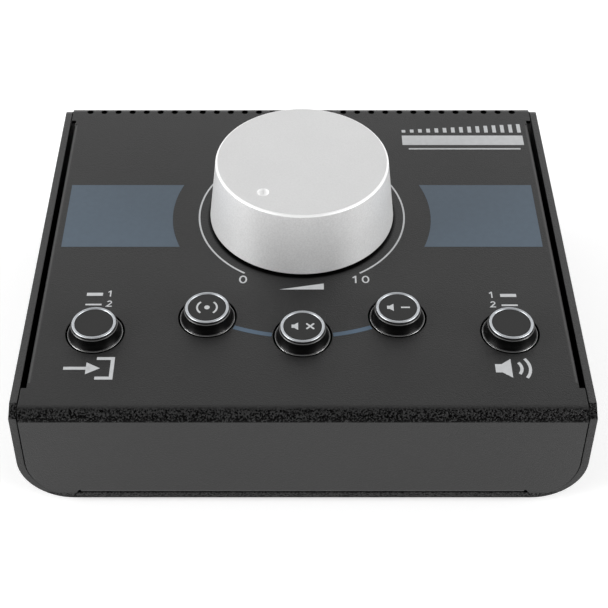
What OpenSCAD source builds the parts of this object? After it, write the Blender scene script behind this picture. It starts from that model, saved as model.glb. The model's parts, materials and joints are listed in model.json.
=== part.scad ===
// Desktop studio monitor controller. A folded sheet-metal case with a sloped panel
// carries one large volume knob and five push buttons, and a row of eight sockets
// looks out of its rear face.
//
// Millimetres. X runs across the case, Y to its rear and Z up. The origin lies on the
// floor, under the middle of the whole object. Everything on the panel is placed from
// the knob's centre: x across, v up the slope and h square out of the panel.

/* [Case] */
// Overall width, across the side walls
case_w = 163; // [150:1:190]
// Depth, from the front face to the rear face
case_d = 142.5; // [136:0.5:170]
// Height of the front face, up to the panel's plane
front_h = 35.2; // [34:0.1:50]
// Slope of the panel, in degrees
slope = 3; // [1:0.5:6]
// Sheet of the base tray, with its coat
tray_t = 2.2; // [1.6:0.1:3]
// Sheet of the top cover, with its coat
cover_t = 1.2; // [0.8:0.1:1.4]
// Outer radius of the lower corners
corner_r = 15; // [10:0.5:18]
// Outer radius of the cover's front and rear bends
bend_r = 3.6; // [2.6:0.1:5]
// Seam between the cover's end faces and the side walls
seam = 0.35; // [0.2:0.05:0.5]
// How far the tray's edges lie behind the end faces
tray_setback = 0.4; // [0.2:0.1:1]
// How far the walls' top edges lie below the panel
wall_drop = 0.3; // [0.1:0.1:0.8]
// Length of the walls' front chamfer, along the top
wall_chamfer = 4; // [2:0.5:6]
// Drop of the walls' front chamfer, down the front
wall_chamfer_drop = 2.2; // [1:0.1:4]
// Radius of the walls' rear top corner
wall_rear_r = 4; // [2:0.5:8]

/* [Cover] */
// Gap of the long slot beside each side wall
slot_gap = 1.5; // [0.8:0.1:2.5]
// Panel left whole ahead of each side slot
slot_front_end = 6.2; // [4:0.1:12]
// Panel left whole behind each side slot
slot_rear_end = 5.1; // [4:0.1:12]
// Outer radius of the side flanges' bend
side_bend_r = 1.4; // [1.4:0.1:2]
// Height of the side flanges
side_flange_h = 12; // [6:0.5:16]
// Length of the notch at each end of a side flange
notch_l = 2; // [1:0.1:4]
// How far each notch reaches in from its slot
notch_in = 0.4; // [0.2:0.1:0.8]
// Height of the end faces' lower edge at the corners
face_lift = 1; // [0.9:0.1:1.5]
// Radius of the end faces' lower corners
face_r = 14; // [8:0.5:16]
// Distance from each case side to the end of the bottom flanges' notches
flange_side = 16.7; // [14:0.1:30]
// Width of the bottom flanges' end notches
flange_notch = 0.5; // [0.3:0.1:2]
// Slant of the end faces' lower edge, out to each corner from those flanges
flange_slant = 2; // [0.5:0.1:3]
// Outer radius of the bottom flanges' bend
lip_r = 1.6; // [1.5:0.1:2.4]
// Depth of the bottom flanges
flange_d = 11; // [9:0.5:14]

/* [Vents] */
// Number of vent holes along the rear edge
vent_n = 31; // [5:2:31]
// Distance from each case side to the outermost vent hole
vent_side = 8.45; // [8.4:0.05:20]
// Diameter of a vent hole
vent_d = 2.2; // [1:0.1:3]
// Centres of the vent holes, ahead of the rear bend
vent_lead = 0.1; // [0:0.1:2]

/* [Feet and base screws] */
// Height of a rubber foot
foot_h = 2; // [1.8:0.1:5]
// Diameter of a rubber foot
foot_d = 13; // [8:0.5:18]
// Distance of the feet from the case's sides
foot_side = 22; // [20:0.5:40]
// Distance of the feet from the end faces
foot_end = 21; // [19:0.5:40]
// Distance of the outer base screws from the case's sides
screw_side = 31.5; // [30:0.5:45]
// Distance of the base screws from the end faces
screw_end = 6.5; // [5.5:0.1:7]
// Thread diameter of the base screws
screw_d = 3; // [2:0.1:3.5]
// Head diameter of the base screws
screw_head_d = 5.5; // [4.5:0.1:6.5]
// Head height of the base screws
screw_head_h = 1.3; // [0.8:0.1:1.6]
// Width of a slot of the screws' cross recess
recess_w = 0.8; // [0.5:0.1:1]
// Depth of that recess
recess_depth = 0.8; // [0.4:0.1:1]

/* [Volume knob] */
// Distance of the knob's centre from the front face
knob_from_front = 84.1; // [80:0.1:90]
// Diameter of the knob at its base
knob_base_d = 58; // [44:0.5:60]
// Diameter of the knob at its top rim
knob_top_d = 53.4; // [40:0.2:58]
// Height of the knob's top above the panel
knob_h = 22.2; // [20:0.1:30]
// Gap between the knob and the panel
knob_gap = 0.8; // [0.4:0.05:2]
// Rounding of the knob's top rim
knob_rim_r = 0.9; // [0.4:0.1:2]
// Chamfer of the knob's bottom edge
knob_edge = 0.3; // [0.1:0.05:0.8]
// Wall of the knob
knob_wall = 2.4; // [1.5:0.1:4]
// Thickness of the knob's top
knob_roof = 3; // [2:0.1:5]
// Diameter of the pointer dimple
dimple_d = 3.6; // [2:0.1:5]
// Depth of the pointer dimple
dimple_depth = 0.7; // [0.3:0.05:1]
// Distance of the dimple from the knob's axis
dimple_at = 19.6; // [12:0.1:22]
// Angle of the dimple, clockwise from the front
dimple_angle = 36.8; // [30:0.1:330]
// Outer diameter of the sleeve under the knob's top
sleeve_d = 21; // [18:0.5:24]
// Wall of that sleeve
sleeve_wall = 2; // [1:0.1:3]
// Gap between the sleeve and the panel
sleeve_gap = 5.5; // [4:0.1:9]

/* [Volume control] */
// Diameter of the control's shaft
shaft_d = 6; // [4:0.1:6.35]
// Running clearance of the shaft in its bushing, all round
shaft_play = 0.05; // [0.02:0.01:0.09]
// Clearance of the hub on the shaft, all round
hub_play = 0.03; // [0.01:0.01:0.05]
// Thread diameter of the bushing
bushing_d = 9; // [8.5:0.1:10]
// Height of the bushing above the panel
bushing_out = 3.6; // [3:0.1:3.8]
// Diameter of the bushing's collar, under the panel
collar_d = 14; // [12:0.5:16]
// Height of that collar
collar_h = 2.3; // [1.5:0.1:3]
// Diameter of the control's case
pot_d = 24; // [22:0.5:28]
// Wall of the control's case
pot_wall = 1; // [0.8:0.1:1.4]
// Thickness of the wiper disc
wiper_t = 1.6; // [1:0.1:2.4]

/* [Buttons] */
// Radius of the arc that the three middle buttons lie on
middle_arc_r = 54.1; // [52:0.1:56]
// Angle between the middle buttons
middle_spread = 31.1; // [28:0.1:33]
// Distance of the end buttons from the case's sides
end_button_side = 21.1; // [20.5:0.1:25]
// Distance of the end buttons from the knob's centre, down the slope
end_button_v = 52.7; // [44:0.1:56]
// Diameter of the holes in the panel
button_hole_d = 17.3; // [17:0.1:19]
// Height of a button's silver ring above the panel
button_h = 4.2; // [3.6:0.1:6]
// Outer diameter of the silver ring
ring_d = 12.9; // [11:0.1:14]
// Width of the silver ring
ring_w = 0.9; // [0.5:0.1:1.4]
// Thickness of the silver ring
ring_t = 0.7; // [0.5:0.1:1.2]
// How far the cap's top lies below the silver ring's crest
cap_sink = 0.25; // [0.1:0.05:0.5]
// How far the cap's shoulder stands out under the silver ring
shoulder_w = 0.35; // [0.2:0.05:0.5]
// Diameter of the cap's skirt at the panel
skirt_d = 15.4; // [15:0.1:15.4]
// Diameter of the cap's lip
lip_d = 16.2; // [16.1:0.1:16.4]
// Thickness of the cap's lip
lip_t = 0.6; // [0.5:0.1:1]
// Rounding of the cap's lip
lip_round = 0.2; // [0.1:0.05:0.3]
// Wall of the cap
cap_wall = 1.2; // [0.8:0.1:1.4]
// Travel of a button
button_travel = 2.5; // [1:0.1:2.6]

/* [Switches and boards] */
// Gap between the panel's top and the switch bodies
switch_drop = 4.6; // [4.5:0.1:6]
// Width of a switch body
switch_w = 8.6; // [8:0.1:10]
// Height of a switch body
switch_h = 7.5; // [7.4:0.1:10]
// Wall of a switch body
switch_wall = 1; // [0.8:0.1:1.2]
// Width of the square plunger
plunger_w = 3.2; // [2.6:0.1:3.6]
// Width of the plunger's foot
plunger_foot_w = 5.6; // [4.8:0.1:5.9]
// Thickness of the plunger's foot
plunger_foot_t = 1; // [0.8:0.1:1.2]
// Gap round every moving piece of a switch
switch_play = 0.3; // [0.2:0.05:0.4]
// Mean diameter of a return spring
spring_d = 3.8; // [3.4:0.1:4.4]
// Wire diameter of a return spring
spring_wire = 0.4; // [0.3:0.05:0.45]
// Turns of a return spring
spring_turns = 3; // [2:1:4]
// Thickness of a circuit board
board_t = 1.6; // [1:0.1:2]
// Margin of the control board past the outermost buttons
board_margin = 11.5; // [10.5:0.5:12]
// Gap from the control board's rear edge to the sockets, along the case
board_gap = 12.2; // [11:0.1:16]
// Diameter of a standoff
standoff_d = 5; // [4:0.1:6]
// Inset of the standoffs from a board's edges
standoff_inset = 4; // [3.5:0.1:5]
// Thread diameter of the board screws
board_screw_d = 2.5; // [2:0.1:3]
// Head diameter of the board screws
board_head_d = 4.6; // [4:0.1:5]
// Head height of the board screws
board_head_h = 1.6; // [1:0.1:2]
// Length of a board screw under its head
board_screw_l = 6; // [4:0.1:8]

/* [Sockets] */
// Number of sockets in the rear face
jack_n = 8; // [2:2:8]
// Spacing of the sockets
jack_pitch = 18; // [16:0.1:18.5]
// Height of the sockets' axes above the tray's underside
jack_h = 20; // [19:0.1:22]
// Bore of a socket, for a 6.35 mm plug
jack_bore_d = 6.5; // [6.4:0.05:6.8]
// Depth of the bore from its mouth
jack_depth = 29; // [20:0.5:31]
// Width and height of a socket's body
jack_w = 13; // [11.5:0.1:15]
// Length of a socket's body behind the rear face
jack_l = 27; // [18:0.5:30]
// Thread diameter of a socket's bushing
jack_bushing_d = 9; // [8.4:0.1:10]
// How far a socket's bushing stands out of the rear face
jack_proud = 3.4; // [3:0.1:5]
// Width of a socket's nut across its flats
jack_nut_w = 12; // [11:0.1:14]
// Thickness of a socket's nut
jack_nut_t = 2; // [1.2:0.1:2.2]
// Chamfer of the nuts' corners
nut_chamfer = 0.5; // [0.2:0.1:0.8]
// Thickness of a washer
washer_t = 0.5; // [0.3:0.1:0.6]
// Depth of the socket board ahead of the sockets
jack_board_front = 14; // [12:0.5:16]

/* [Ribbon cable] */
// Width of the ribbon cable
ribbon_w = 15; // [8:0.5:20]
// Thickness of the ribbon cable
ribbon_t = 0.9; // [0.6:0.1:1.2]
// Bend radius of the ribbon's middle
ribbon_bend_r = 3; // [2:0.1:3.4]
// Distance of the ribbon from the case's middle plane
ribbon_x = 27; // [22:0.5:30]
// Length of a header, across the case
header_l = 18; // [16:0.5:22]
// Height of a header
header_h = 6; // [4:0.1:6.4]
// Depth of a header
header_d = 5; // [4:0.1:6]
// Distance of the control board's header from its rear edge
header_inset = 6; // [5:0.1:10]

/* [Hidden] */
// Fit clearance round threads and screws, on the radius
fit_gap = 0.05;
// Clearance round a bushing or screw in a sheet, on the radius
hole_gap = 0.15;
// Overshoot of every cut past the surface that it opens
over = 1;
// How far a flat runs into the bend that it joins
weld = 0.01;
fine = 128;
round_fn = 64;

// Case
y_front = -(case_d + jack_proud) / 2;
y_rear = y_front + case_d;
z_base = foot_h;
z_floor = z_base + tray_t;
tray_front = y_front + tray_setback;
tray_rear = y_rear - tray_setback;
face_half = case_w / 2 - tray_t - seam;
flange_x = case_w / 2 - tray_t - slot_gap;
flange_half = case_w / 2 - flange_side;
screw_x = case_w / 2 - screw_side;
vent_pitch = (case_w - 2 * vent_side) / (vent_n - 1);
pocket_depth = cover_t + seam;
pocket_grow = seam + fit_gap;
tongue_gap = pocket_grow + 2 * fit_gap;

// Panel frame
panel_y = y_front + knob_from_front;
panel_z = z_base + front_h + knob_from_front * tan(slope);
v_front = tidy(-knob_from_front / cos(slope) + bend_r * tan((90 - slope) / 2));
v_rear = tidy((case_d - knob_from_front) / cos(slope) - bend_r * tan((90 + slope) / 2));
slot_front = v_front + slot_front_end;
slot_rear = v_rear - slot_rear_end;
bend_z_front = tidy(panel_line(y_front + bend_r) - bend_r / cos(slope));
bend_z_rear = tidy(panel_line(y_rear - bend_r) - bend_r / cos(slope));

// Heights in the panel frame, from its top surface
board_top = -switch_drop - switch_h;
board_under = board_top - board_t;
cavity_top = -switch_drop - switch_wall;
cavity_floor = board_top + switch_wall;
foot_top = cavity_top - 2 * fit_gap;
foot_under = foot_top - plunger_foot_t;
cap_top = button_h - cap_sink;
ring_floor = button_h - ring_t;
cap_roof = cap_top - cap_wall;
socket_top = cap_top - cap_wall / 2 - switch_play;
boss_under = -cap_wall;
knob_roof_under = knob_h - knob_roof;
pot_top = -cover_t - collar_h;
wiper_under = board_top + pot_wall + 4 * switch_play;
shaft_top = knob_roof_under - 1.5;

end_button_x = case_w / 2 - end_button_side;
// Buttons, as [name, x, v]
BUTTONS = [
    ["source", -end_button_x, -end_button_v],
    ["mono", -middle_arc_r * sin(middle_spread), -middle_arc_r * cos(middle_spread)],
    ["mute", 0, -middle_arc_r],
    ["dim", middle_arc_r * sin(middle_spread), -middle_arc_r * cos(middle_spread)],
    ["monitor", end_button_x, -end_button_v],
];
FEET = [
    ["foot_front_left", -1, -1],
    ["foot_front_right", 1, -1],
    ["foot_rear_left", -1, 1],
    ["foot_rear_right", 1, 1],
];
JACKS = [for (i = [1:jack_n]) str("socket_", i)];

// Boards
board_half = end_button_x + board_margin;
board_front = end_button_v + board_margin;
board_rear = tidy((y_rear - cover_t - jack_l - board_gap - panel_y) / cos(slope));
standoff_top_l = -cover_t - board_top;
jack_z = z_base + jack_h;
jack_board_top = jack_z - jack_w / 2;
jack_board_half = (jack_n - 1) * jack_pitch / 2 + jack_w / 2 + 1;
jack_board_y = y_rear - cover_t - jack_l - jack_board_front;
jack_standoff_y = jack_board_y + standoff_inset;
jack_standoff_x = [-1, 0, 1] * (jack_board_half - 2.5 * standoff_inset);

// Ribbon, from the control board's header back and down into the socket board's
header_v = board_rear - header_d / 2 - header_inset;
header_y = jack_board_y + standoff_inset + header_d / 2;
ribbon_mid = board_under - header_h / 2;
ribbon_from = header_v + header_d / 2;
ribbon_y = panel_y + ribbon_from * cos(slope) - ribbon_mid * sin(slope);
ribbon_z = panel_z + ribbon_from * sin(slope) + ribbon_mid * cos(slope);
ribbon_run = tidy((header_y - ribbon_bend_r * (1 + sin(slope)) - ribbon_y) / cos(slope));
ribbon_turn_z = tidy(ribbon_z + ribbon_run * sin(slope) - ribbon_bend_r * cos(slope));
ribbon_down = ribbon_turn_z - jack_board_top - header_h;

// Rounds a length to 0.001 mm, so that sheets and bends meet exactly in a STEP file
function tidy(a) = round(a * 1000) / 1000;

// Height of the panel's plane at y
function panel_line(y) = z_base + front_h + (y - y_front) * tan(slope);

// Points along an arc about c, from angle a to angle b
function arc(c, r, a, b, steps) =
    [for (i = [0:steps]) let (t = a + (b - a) * i / steps) [c[0] + r * cos(t), c[1] + r * sin(t)]];

// Places its children on the panel, at x and v from the knob's centre. The frame hangs
// on the front bend's centre, where the panel's flat begins.
module on_panel(x = 0, v = 0) {
    translate([0, y_front + bend_r, bend_z_front]) rotate([slope, 0, 0])
        translate([x, v - v_front, bend_r]) children();
}

// A ring or tube along Z, from height a to height b
module tube(outer_r, inner_r, a, b) {
    translate([0, 0, a]) difference() {
        cylinder(r = outer_r, h = b - a, $fn = round_fn);
        translate([0, 0, -over]) cylinder(r = inner_r, h = b - a + 2 * over, $fn = round_fn);
    }
}

// ---------------------------------------------------------------- Top cover

// A bend along X between two flats of the cover's sheet, about the point y, z
module cover_bend(y, z, r, from, turn, half) {
    translate([-half, y, z]) rotate([90, 0, 90])
        rotate_extrude(angle = turn, start = from, $fn = fine)
            translate([r - cover_t, 0]) square([cover_t, 2 * half]);
}

// Outline of an end face, from low to top, with its lower corners rounded like the tray's
module face_outline(low, top, grow = 0) {
    half = face_half + grow;
    r = face_r + grow;
    difference() {
        translate([-half, low - grow]) square([2 * half, top - low + grow]);
        for (side = [0, 1]) mirror([side, 0])
            translate([half - r, low - grow + r]) difference() {
                translate([0, -r - over]) square(r + over);
                circle(r = r, $fn = fine);
            }
    }
}

// The gap in an end face's lower edge for the bottom flange, with slanted ends. The same
// shape, less a gap, leaves the tray's tongue in the pocket that takes the end face.
module flange_gap(top, low, less = 0) {
    slant = flange_slant / (lip_r + tray_t - face_lift);
    wide = flange_half - less + (z_floor + lip_r - low) * slant;
    narrow = flange_half - less + (z_floor + lip_r - top) * slant;
    polygon([[-wide, low], [wide, low], [narrow, top], [-narrow, top]]);
}

// One end of the cover, about the centre of its bend at height z: the bend, which turns
// by the angle that leads into the panel, the end face below it and the flange folded
// in under that, seated on the tray's floor
module cover_end(z, turn) {
    floor_z = z_floor - z;
    half = flange_half - flange_notch;
    cover_bend(0, 0, bend_r, 180 - turn, turn, face_half);
    translate([0, cover_t - bend_r, 0]) rotate([90, 0, 0]) linear_extrude(cover_t) difference() {
        face_outline(z_base + face_lift - z, 0);
        translate([0, -z]) flange_gap(z_floor + lip_r, z_base);
    }
    cover_bend(lip_r - bend_r, floor_z + lip_r, lip_r, 180, 90, half);
    translate([-half, lip_r - bend_r, floor_z]) cube([2 * half, flange_d - lip_r, cover_t]);
}

// The panel's sheet between its two bends, which it enters by a hair to join them
module panel_sheet() {
    front = [y_front + bend_r, bend_z_front];
    rear = [y_rear - bend_r, bend_z_rear];
    along = [cos(slope), sin(slope)] * weld;
    up = [-sin(slope), cos(slope)];
    translate([-face_half, 0, 0]) rotate([90, 0, 90]) linear_extrude(2 * face_half) polygon([
        front - along + up * (bend_r - cover_t), rear + along + up * (bend_r - cover_t),
        rear + along + up * bend_r, front - along + up * bend_r,
    ]);
}

// A side flange, folded down along the slot
module side_flange() {
    start = slot_front + notch_l;
    run = slot_rear - notch_l - start;
    translate([flange_x - side_bend_r, start + run, -side_bend_r]) rotate([90, 0, 0])
        rotate_extrude(angle = 90, $fn = fine)
            translate([side_bend_r - cover_t, 0]) square([cover_t, run]);
    translate([flange_x - cover_t, start, -side_flange_h])
        cube([cover_t, run, side_flange_h - side_bend_r]);
}

// The two long slots, with a notch at each end, and the room for the side bends
module side_slots() {
    run = slot_rear - slot_front;
    for (side = [0, 1]) mirror([side, 0, 0]) {
        translate([flange_x - notch_in, slot_front, -cover_t - over])
            cube([case_w, run, cover_t + 2 * over]);
        translate([flange_x - side_bend_r, slot_front + notch_l, -cover_t - over])
            cube([case_w, run - 2 * notch_l, cover_t + 2 * over]);
    }
}

module top_cover() {
    color([0.2, 0.2, 0.21]) difference() {
        union() {
            difference() {
                panel_sheet();
                on_panel() side_slots();
            }
            on_panel() for (side = [0, 1]) mirror([side, 0, 0]) side_flange();
            translate([0, y_front + bend_r, bend_z_front]) cover_end(bend_z_front, 90 - slope);
            translate([0, y_rear - bend_r, bend_z_rear]) mirror([0, 1, 0])
                cover_end(bend_z_rear, 90 + slope);
        }
        on_panel() panel_holes();
        jack_places() rotate([-90, 0, 0]) translate([0, 0, -cover_t - over])
            cylinder(d = jack_bushing_d + 2 * hole_gap, h = cover_t + 2 * over, $fn = round_fn);
        base_screw_places() translate([0, 0, tray_t - over])
            cylinder(d = screw_d + 2 * fit_gap, h = cover_t + 2 * over, $fn = round_fn);
    }
}

// Holes of the panel: the bushing's, the five buttons' and the row of vents
module panel_holes() {
    translate([0, 0, -cover_t - over])
        cylinder(d = bushing_d + 2 * hole_gap, h = cover_t + 2 * over, $fn = round_fn);
    for (b = BUTTONS) translate([b[1], b[2], -cover_t - over])
        cylinder(d = button_hole_d, h = cover_t + 2 * over, $fn = fine);
    for (i = [0:vent_n - 1])
        translate([(i - (vent_n - 1) / 2) * vent_pitch, v_rear - vent_lead, -cover_t - over])
            cylinder(d = vent_d, h = cover_t + 2 * over, $fn = 24);
}

// ---------------------------------------------------------------- Base tray

// Side wall in outline, as y and z: its top follows the panel, chamfered in front
module wall_outline() {
    front_top = panel_line(tray_front) - wall_drop;
    chamfer_y = tray_front + wall_chamfer;
    rear_c = [tray_rear - wall_rear_r,
              panel_line(tray_rear - wall_rear_r) - wall_drop - wall_rear_r / cos(slope)];
    polygon(concat(
        [[tray_front, z_base + corner_r], [tray_rear, z_base + corner_r]],
        arc(rear_c, wall_rear_r, 0, 90 + slope, 12),
        [[chamfer_y, panel_line(chamfer_y) - wall_drop],
         [tray_front, front_top - wall_chamfer_drop]]
    ));
}

// What an end face needs clear in the tray, down to the tongue of the floor under it
module face_pocket(top) {
    translate([0, y_front + pocket_depth, 0]) rotate([90, 0, 0])
        linear_extrude(pocket_depth + over) difference() {
            face_outline(z_base + face_lift, top, pocket_grow);
            flange_gap(z_floor, z_base, tongue_gap);
        }
}

module base_tray() {
    run = tray_rear - tray_front;
    top = front_h + case_d;
    color([0.23, 0.23, 0.24]) difference() {
        union() {
            translate([-case_w / 2 + corner_r, tray_front, z_base])
                cube([case_w - 2 * corner_r, run, tray_t]);
            for (side = [0, 1]) mirror([side, 0, 0]) {
                translate([case_w / 2 - corner_r, tray_rear, z_base + corner_r])
                    rotate([90, 0, 0]) rotate_extrude(angle = 90, start = 270, $fn = fine)
                        translate([corner_r - tray_t, 0]) square([tray_t, run]);
                translate([case_w / 2 - tray_t, 0, 0]) rotate([90, 0, 90])
                    linear_extrude(tray_t) wall_outline();
            }
        }
        face_pocket(top);
        translate([0, y_rear + y_front, 0]) mirror([0, 1, 0]) face_pocket(top);
        base_screw_places() translate([0, 0, -over])
            cylinder(d = screw_d + 2 * hole_gap, h = tray_t + 2 * over, $fn = round_fn);
    }
}

// The six base screws' places, on the tray's underside
module base_screw_places() {
    for (i = [-1:1], y = [y_front + screw_end, y_rear - screw_end])
        translate([i * screw_x, y, z_base]) children();
}

// Pan-head screws with a cross recess, which hold the tray to the cover's bottom flanges
module base_screws() {
    r = screw_head_d / 2;
    color([0.25, 0.25, 0.27]) base_screw_places() difference() {
        rotate_extrude($fn = 48) polygon([
            [0, -screw_head_h], [r * 0.55, -screw_head_h], [r * 0.85, -screw_head_h * 0.78],
            [r, -screw_head_h * 0.4], [r, 0], [screw_d / 2, 0],
            [screw_d / 2, tray_t + 2 * cover_t], [0, tray_t + 2 * cover_t],
        ]);
        for (turn = [0, 90]) rotate([0, 0, turn])
            translate([-recess_w / 2, -r * 0.6, -screw_head_h - over])
                cube([recess_w, r * 1.2, recess_depth + over]);
    }
}

// A hexagon nut along Z, with the corners of its outer face chamfered, before its bore
module nut_blank(across, t) {
    tip_r = across / 2 / cos(30);
    intersection() {
        cylinder(r = tip_r, h = t, $fn = 6);
        cylinder(r1 = tip_r + 2 * t - nut_chamfer, r2 = tip_r - nut_chamfer, h = t,
            $fn = round_fn);
    }
}

module foot(x_side, y_side) {
    y = y_side < 0 ? y_front + foot_end : y_rear - foot_end;
    color([0.1, 0.1, 0.1]) translate([x_side * (case_w / 2 - foot_side), y, 0]) {
        cylinder(d = foot_d, h = foot_h - 0.6, $fn = round_fn);
        translate([0, 0, foot_h - 0.6]) cylinder(d = foot_d - 1, h = 0.6, $fn = round_fn);
    }
}

// ---------------------------------------------------------------- Volume control

// Turned aluminium shell: a gently tapered wall, a rounded rim and a sleeve inside
module volume_knob() {
    base_r = knob_base_d / 2;
    top_r = knob_top_d / 2;
    rim_c = [top_r - knob_rim_r, knob_h - knob_rim_r];
    sleeve_r = sleeve_d / 2;
    ball_r = (pow(dimple_d / 2, 2) + pow(dimple_depth, 2)) / (2 * dimple_depth);
    color([0.84, 0.84, 0.85]) on_panel() difference() {
        rotate_extrude($fn = 180) polygon(concat(
            [[0, knob_roof_under], [0, knob_h]],
            arc(rim_c, knob_rim_r, 90, 0, 6),
            [[base_r, knob_gap + knob_edge], [base_r - knob_edge, knob_gap],
             [base_r - knob_wall, knob_gap], [top_r - knob_wall, knob_roof_under],
             [sleeve_r, knob_roof_under], [sleeve_r, sleeve_gap],
             [sleeve_r - sleeve_wall, sleeve_gap], [sleeve_r - sleeve_wall, knob_roof_under]]
        ));
        rotate([0, 0, -90 - dimple_angle]) translate([dimple_at, 0, knob_h + ball_r - dimple_depth])
            sphere(r = ball_r, $fn = 48);
    }
}

// Moulded hub pressed into the knob's sleeve and onto the shaft
module knob_hub() {
    outer_r = sleeve_d / 2 - sleeve_wall - hub_play;
    bore_r = shaft_d / 2 + hub_play;
    color([0.12, 0.12, 0.13]) on_panel() difference() {
        translate([0, 0, sleeve_gap - 0.5])
            cylinder(r = outer_r, h = knob_roof_under - sleeve_gap + 0.5, $fn = round_fn);
        translate([0, 0, sleeve_gap - 0.5 - over])
            cylinder(r = bore_r, h = shaft_top + 0.2 - sleeve_gap + 0.5 + over, $fn = round_fn);
        for (a = [0:60:300]) rotate([0, 0, a]) translate([outer_r - 2, -1, sleeve_gap - 1])
            cube([1.2, 2, knob_roof_under - sleeve_gap - 1.5]);
    }
}

module volume_shaft() {
    color([0.75, 0.75, 0.77]) on_panel() translate([0, 0, wiper_under])
        cylinder(d = shaft_d, h = shaft_top - wiper_under, $fn = round_fn);
}

// Disc with the wipers, turning with the shaft inside the control's case
module volume_wiper() {
    color([0.7, 0.55, 0.3]) on_panel()
        tube(pot_d / 2 - pot_wall - 2 * switch_play, shaft_d / 2 + fit_gap,
            wiper_under, wiper_under + wiper_t);
}

module volume_pot_case() {
    color([0.6, 0.6, 0.62]) on_panel() difference() {
        translate([0, 0, board_top]) cylinder(d = pot_d, h = pot_top - board_top, $fn = fine);
        translate([0, 0, board_top + pot_wall])
            cylinder(d = pot_d - 2 * pot_wall, h = pot_top - board_top - 2 * pot_wall, $fn = fine);
        translate([0, 0, pot_top - pot_wall - over])
            cylinder(d = shaft_d + 2 * switch_play, h = pot_wall + 2 * over, $fn = round_fn);
    }
}

// Threaded bushing, with the collar that seats against the panel's underside
module volume_pot_bushing() {
    color([0.78, 0.68, 0.42]) on_panel() difference() {
        union() {
            translate([0, 0, pot_top]) cylinder(d = collar_d, h = collar_h, $fn = round_fn);
            translate([0, 0, -cover_t])
                cylinder(d = bushing_d, h = cover_t + bushing_out, $fn = round_fn);
        }
        translate([0, 0, pot_top - over])
            cylinder(r = shaft_d / 2 + shaft_play, h = collar_h + 2 * over + 8, $fn = round_fn);
    }
}

module volume_pot_washer() {
    color([0.75, 0.75, 0.77]) on_panel()
        tube(collar_d / 2, bushing_d / 2 + fit_gap, 0, washer_t);
}

module volume_pot_nut() {
    color([0.8, 0.8, 0.82]) on_panel() difference() {
        translate([0, 0, washer_t]) nut_blank(bushing_d + 2.5, jack_nut_t);
        cylinder(r = bushing_d / 2 + fit_gap, h = 4 * over + washer_t, $fn = round_fn);
    }
}

// ---------------------------------------------------------------- Buttons

// Glossy cap: a bevelled shoulder under the ring, a skirt that flares in a hollow curve,
// a rounded lip at its foot and a socket for the plunger
module button_cap(b) {
    ring_r = ring_d / 2;
    socket_w = plunger_w + 2 * fit_gap;
    inner_r = skirt_d / 2 - cap_wall;
    neck_r = ring_r + shoulder_w;
    neck_h = ring_floor - 2 * shoulder_w;
    flare_w = skirt_d / 2 - neck_r;
    flare_turn = 2 * atan(flare_w / neck_h);
    flare_r = neck_h / sin(flare_turn);
    color([0.06, 0.06, 0.065]) on_panel(b[1], b[2]) difference() {
        rotate_extrude($fn = 96) polygon(concat(
            [[0, socket_top], [0, cap_top], [ring_r - ring_w, cap_top],
             [ring_r - ring_w, ring_floor], [ring_r, ring_floor],
             [neck_r, ring_floor - shoulder_w]],
            arc([neck_r + flare_r, neck_h], flare_r, 180, 180 + flare_turn, 6),
            arc([lip_d / 2 - lip_round, -lip_round], lip_round, 90, 0, 3),
            [[lip_d / 2, -lip_t], [inner_r, -lip_t],
             [ring_r - cap_wall / 2, cap_roof], [plunger_w, cap_roof],
             [plunger_w, boss_under], [0, boss_under]]
        ));
        translate([-socket_w / 2, -socket_w / 2, boss_under - over])
            cube([socket_w, socket_w, socket_top - boss_under + over]);
    }
}

// Bright ring let into the cap's edge, with a rounded crest
module button_ring(b) {
    outer_r = ring_d / 2;
    inner_r = outer_r - ring_w;
    crest_r = ring_w / 2;
    color([0.8, 0.8, 0.82]) on_panel(b[1], b[2]) rotate_extrude($fn = 96) polygon(concat(
        [[inner_r, ring_floor], [outer_r, ring_floor]],
        arc([outer_r - crest_r, button_h - crest_r], crest_r, 0, 180, 8)
    ));
}

// Square plunger with a broad foot that the switch body retains
module switch_plunger(b) {
    color([0.9, 0.9, 0.88]) on_panel(b[1], b[2]) {
        translate([-plunger_w / 2, -plunger_w / 2, foot_under])
            cube([plunger_w, plunger_w, socket_top - fit_gap - foot_under]);
        translate([-plunger_foot_w / 2, -plunger_foot_w / 2, foot_under])
            cube([plunger_foot_w, plunger_foot_w, plunger_foot_t]);
    }
}

module switch_body(b) {
    cavity_w = switch_w - 2 * switch_wall;
    mouth_w = plunger_w + 2 * switch_play;
    color([0.15, 0.15, 0.17]) on_panel(b[1], b[2]) difference() {
        translate([-switch_w / 2, -switch_w / 2, board_top]) cube([switch_w, switch_w, switch_h]);
        translate([-cavity_w / 2, -cavity_w / 2, cavity_floor])
            cube([cavity_w, cavity_w, cavity_top - cavity_floor]);
        translate([-mouth_w / 2, -mouth_w / 2, cavity_top - over])
            cube([mouth_w, mouth_w, switch_wall + 2 * over]);
    }
}

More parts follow.
